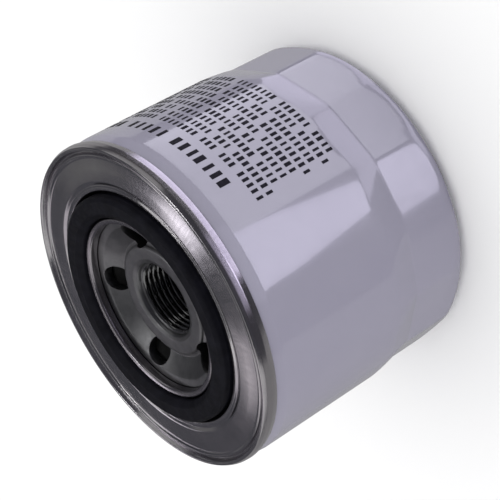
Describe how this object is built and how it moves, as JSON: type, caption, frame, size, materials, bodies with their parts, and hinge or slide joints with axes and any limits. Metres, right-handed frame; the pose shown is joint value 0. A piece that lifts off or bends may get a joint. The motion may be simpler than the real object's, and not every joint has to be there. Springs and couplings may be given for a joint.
{
  "type": "oil filter",
  "caption": "Spin-on oil filter canister with a threaded base plate, ring of oil inlet holes, sealing gasket, seamed lid and wrench flats.",
  "frame": {"origin": "centre of the closed end's foot ring, on the surface the filter stands on", "axes": "+Z along the filter's axis and out of the threaded end; -Y is square to one wrench flat"},
  "size_m": [0.089, 0.089, 0.0719],
  "materials": {
    "can_paint": "gloss",
    "tin_plate": "satin",
    "plate_steel": "satin",
    "gasket_rubber": "matte",
    "compound": "matte",
    "valve_rubber": "matte",
    "cap_steel": "satin",
    "tube_steel": "satin",
    "spring_steel": "satin",
    "potting": "matte",
    "filter_paper": "matte"
  },
  "bodies": {
    "housing": {"can_body": "can_paint", "seam_lid": "tin_plate", "seam_compound": "compound", "sealing_gasket": "gasket_rubber", "base_plate": "plate_steel", "element_spring": "spring_steel"},
    "drainback_flap": {"anti_drainback_valve": "valve_rubber"},
    "element": {"upper_end_cap": "cap_steel", "upper_adhesive": "potting", "filter_media": "filter_paper", "media_seam_clip": "cap_steel", "lower_adhesive": "potting", "lower_end_cap": "cap_steel", "center_tube": "tube_steel", "bypass_seat_seal": "valve_rubber", "bypass_cage": "cap_steel", "bypass_spring": "spring_steel", "spring_seat": "cap_steel"},
    "bypass_poppet": {"bypass_disc": "tube_steel", "bypass_stem": "tube_steel"}
  },
  "joints": [
    {"name": "drainback_lift", "type": "slide", "parent": "housing", "child": "drainback_flap", "axis": [0, 0, -1], "range_m": [0, 0.0011], "stiffness_N_per_m": 400, "springref_m": -0.001},
    {"name": "element_float", "type": "slide", "parent": "housing", "child": "element", "axis": [0, 0, -1], "range_m": [0, 0.0012], "stiffness_N_per_m": 15000, "springref_m": -0.003, "deforming": ["element_spring"]},
    {"name": "bypass_lift", "type": "slide", "parent": "element", "child": "bypass_poppet", "axis": [0, 0, 1], "range_m": [0, 0.003], "stiffness_N_per_m": 2500, "springref_m": -0.007, "deforming": ["bypass_spring"]}
  ]
}
